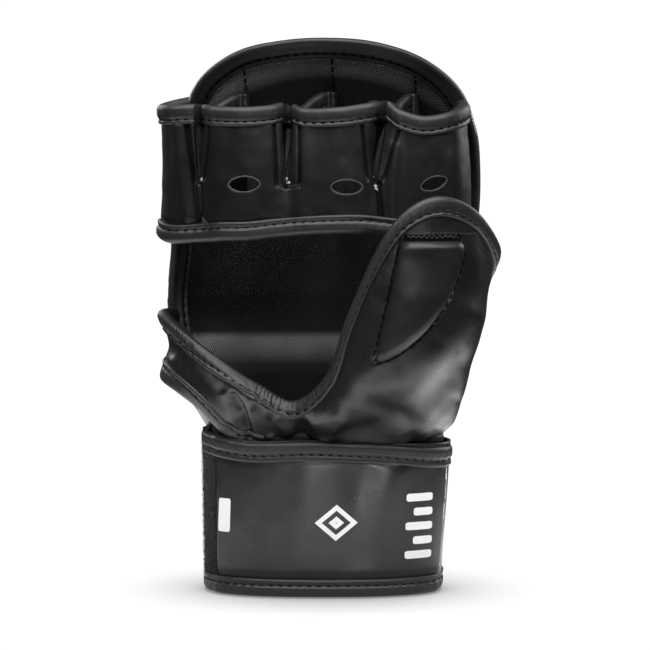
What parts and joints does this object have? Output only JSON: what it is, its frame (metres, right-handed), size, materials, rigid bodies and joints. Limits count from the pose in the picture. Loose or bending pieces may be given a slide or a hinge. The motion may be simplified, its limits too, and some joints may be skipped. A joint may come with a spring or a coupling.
{
  "type": "mma glove",
  "caption": "Right-hand grappling glove with a padded knuckle guard, open finger stalls, an open palm, a padded thumb and a deep hook-and-loop wrist strap.",
  "frame": {"origin": "under the middle of the glove's overall box, on the plane the cuff's lower edge rests on", "axes": "+Z from the wrist to the fingertips, -Y out of the palm, +X towards the thumb"},
  "size_m": [0.1572, 0.122, 0.2555],
  "materials": {
    "leather": "satin pebble-grain black faux leather",
    "binding": "smooth black folded binding tape, stitched in black",
    "pad_leather": "satin black faux leather over a raised foam pad",
    "lining": "black twill-woven lining with a slight sheen",
    "foam": "dense padding, hidden under the skins",
    "loop_tape": "fuzzy black loop tape",
    "hook_tape": "black hook tape"
  },
  "bodies": {
    "hand": {"cuff_back_bottom_binding": "binding", "cuff_back_cover": "leather", "cuff_back_foam": "foam", "cuff_back_lining": "lining", "cuff_back_top_binding": "binding", "cuff_bottom_binding": "binding", "cuff_loop_patch": "loop_tape", "cuff_palm_foam": "foam", "cuff_palm_lining": "lining", "cuff_palm_panel": "leather", "cuff_top_binding": "binding", "hand_back_cover": "leather", "hand_back_foam": "foam", "hand_back_lining": "lining", "hand_rim_binding_left": "binding", "hand_rim_binding_right": "binding", "palm_edge_binding": "binding", "palm_heel_lining": "lining", "palm_heel_panel": "leather", "strap_anchor_panel": "leather"},
    "finger_guard": {"finger_divider_1": "leather", "finger_divider_2": "leather", "finger_divider_3": "leather", "finger_divider_binding_1": "binding", "finger_divider_binding_2": "binding", "finger_divider_binding_3": "binding", "finger_loop_binding_index": "binding", "finger_loop_binding_little": "binding", "finger_loop_binding_middle": "binding", "finger_loop_binding_ring": "binding", "grip_bar_bottom_binding": "binding", "grip_bar_lining": "lining", "grip_bar_panel": "leather", "knuckle_cover": "leather", "knuckle_foam": "foam", "knuckle_lining": "lining", "knuckle_rim_binding": "binding"},
    "thumb": {"thumb_edge_binding": "binding", "thumb_lining": "lining", "thumb_pad_cover": "pad_leather", "thumb_pad_foam": "foam", "thumb_panel": "leather"},
    "strap_near": {"strap_near_bottom_binding": "binding", "strap_near_panel": "leather", "strap_near_top_binding": "binding"},
    "strap_far": {"strap_end_binding": "binding", "strap_far_bottom_binding": "binding", "strap_far_panel": "leather", "strap_far_top_binding": "binding", "strap_hook_patch": "hook_tape"}
  },
  "joints": [
    {"name": "knuckle_flex", "type": "hinge", "parent": "hand", "child": "finger_guard", "pos_m": [0.00067, 0.01464, 0.136], "axis": [1, 0, 0], "range_deg": [0, 12]},
    {"name": "thumb_flex", "type": "hinge", "parent": "hand", "child": "thumb", "pos_m": [0.02617, -0.00636, 0.1065], "axis": [0.7855, 0.5043, 0.3588], "range_deg": [0, 25]},
    {"name": "strap_open", "type": "hinge", "parent": "hand", "child": "strap_near", "pos_m": [0.0545, 0.0134, 0.037], "axis": [-0.0658, -0.0063, -0.9978], "range_deg": [0, 100]},
    {"name": "strap_tip_peel", "type": "hinge", "parent": "strap_near", "child": "strap_far", "pos_m": [0.02196, 0.03664, 0.037], "axis": [-0.0355, -0.0253, -0.999], "range_deg": [0, 50]}
  ],
  "couplings": [
    {"joint": "strap_tip_peel", "follows": "strap_open", "ratio": 0.5}
  ]
}
